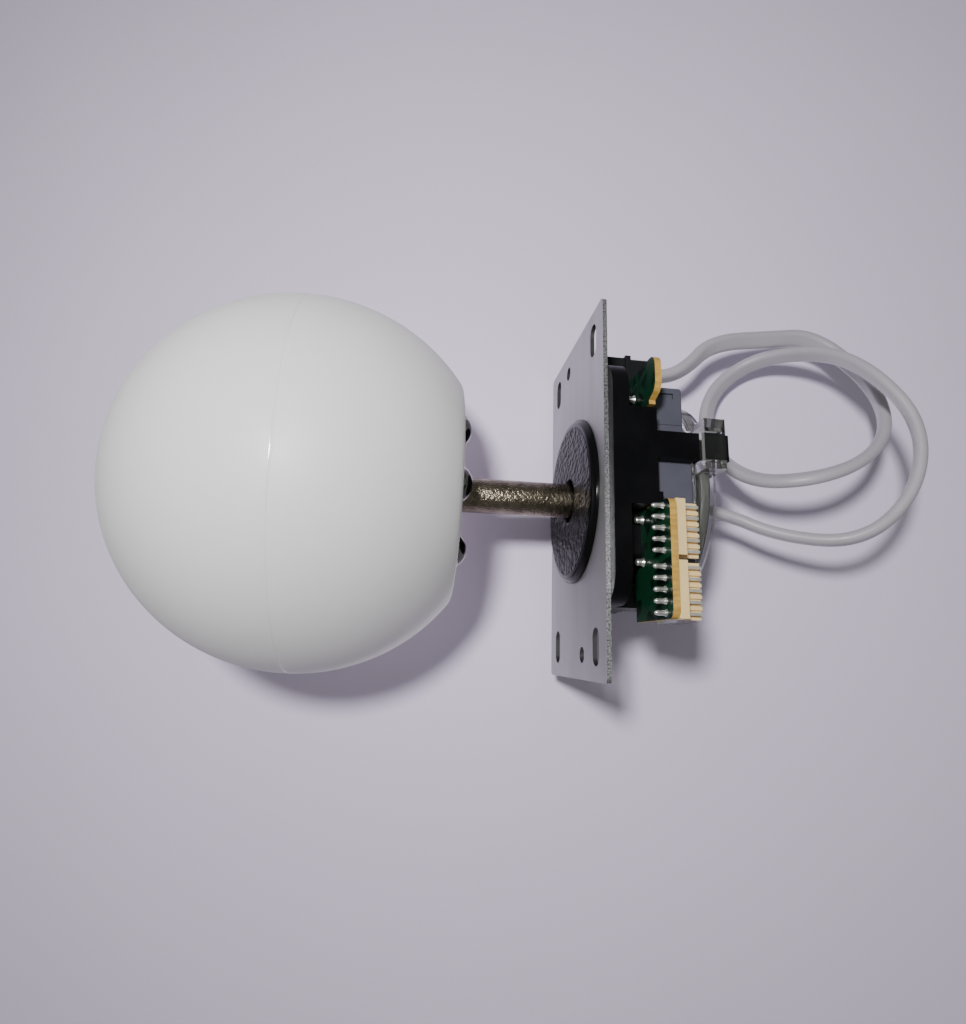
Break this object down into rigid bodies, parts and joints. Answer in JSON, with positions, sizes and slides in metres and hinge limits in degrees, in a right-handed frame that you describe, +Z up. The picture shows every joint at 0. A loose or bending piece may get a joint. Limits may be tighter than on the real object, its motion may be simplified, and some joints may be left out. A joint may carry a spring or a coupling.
{
  "type": "arcade joystick lever",
  "caption": "Arcade joystick lever with a large translucent globe, steel mounting plate, spring-centred pivot, clear gate, edge-mounted microswitches and a loose lead for the globe's light",
  "frame": {"origin": "centre of the mounting plate's top face, between the four slots", "axes": "+Z up along the lever towards the globe, X along the plate's long side, Y along its short side; the connector tongue is on the -Y side"},
  "size_m": [0.1075, 0.0964, 0.2129],
  "materials": {
    "plate_steel": "satin plated sheet with a bright sheared edge",
    "screw_steel": "dark polished",
    "washer_black": "leather grain with a smooth rim",
    "housing_black": "moulded, slightly glossy",
    "board_green": "solder resist over tracks",
    "tinned_metal": "tinned",
    "header_ivory": "moulded",
    "gate_clear": "clear moulded",
    "switch_grey": "fine matt moulding",
    "plunger_white": "moulded",
    "shaft_nickel": "nickel with a crinkled grain",
    "pivot_white": "greased moulding",
    "spring_steel": "drawn wire",
    "hub_plastic": "moulded",
    "led_white": "clear cast lens",
    "globe_white": "milky translucent satin",
    "cord_grey": "satin sheath",
    "plug_charcoal": "moulded"
  },
  "bodies": {
    "base": {"mounting_plate": "plate_steel", "plate_screws": "screw_steel", "dust_washer": "washer_black", "housing": "housing_black", "circuit_board": "board_green", "switch_tails": "tinned_metal", "header_inner": "header_ivory", "header_outer": "header_ivory", "header_pins": "tinned_metal", "gate": "gate_clear", "switch_front": "switch_grey", "switch_right": "switch_grey", "switch_back": "switch_grey", "switch_left": "switch_grey", "cord": "cord_grey", "plug": "plug_charcoal"},
    "rocker": {"spring_cup": "pivot_white", "return_spring": "spring_steel"},
    "lever": {"shaft": "shaft_nickel", "pivot_ball": "pivot_white", "actuator": "housing_black", "e_clip": "screw_steel", "ball_hub": "hub_plastic", "hub_screws": "screw_steel", "led_board": "hub_plastic", "leds": "led_white", "ball_lower": "globe_white", "ball_upper": "globe_white", "led_lead": "cord_grey"},
    "button_front": {"plunger_front": "plunger_white"},
    "button_right": {"plunger_right": "plunger_white"},
    "button_back": {"plunger_back": "plunger_white"},
    "button_left": {"plunger_left": "plunger_white"}
  },
  "joints": [
    {"name": "tilt_fore_aft", "type": "hinge", "parent": "base", "child": "rocker", "pos_m": [0, 0, -0.004], "axis": [1, 0, 0], "range_deg": [-7, 7], "stiffness_Nm_per_rad": 1.2},
    {"name": "tilt_left_right", "type": "hinge", "parent": "rocker", "child": "lever", "pos_m": [0, 0, -0.004], "axis": [0, 1, 0], "range_deg": [-7, 7], "stiffness_Nm_per_rad": 1.2, "deforming": ["return_spring"]},
    {"name": "press_front", "type": "slide", "parent": "base", "child": "button_front", "axis": [0, -1, 0], "range_m": [0, 0.0008], "stiffness_N_per_m": 500, "springref_m": -0.0006},
    {"name": "press_right", "type": "slide", "parent": "base", "child": "button_right", "axis": [1, 0, 0], "range_m": [0, 0.0008], "stiffness_N_per_m": 500, "springref_m": -0.0006},
    {"name": "press_back", "type": "slide", "parent": "base", "child": "button_back", "axis": [0, 1, 0], "range_m": [0, 0.0008], "stiffness_N_per_m": 500, "springref_m": -0.0006},
    {"name": "press_left", "type": "slide", "parent": "base", "child": "button_left", "axis": [-1, 0, 0], "range_m": [0, 0.0008], "stiffness_N_per_m": 500, "springref_m": -0.0006}
  ]
}
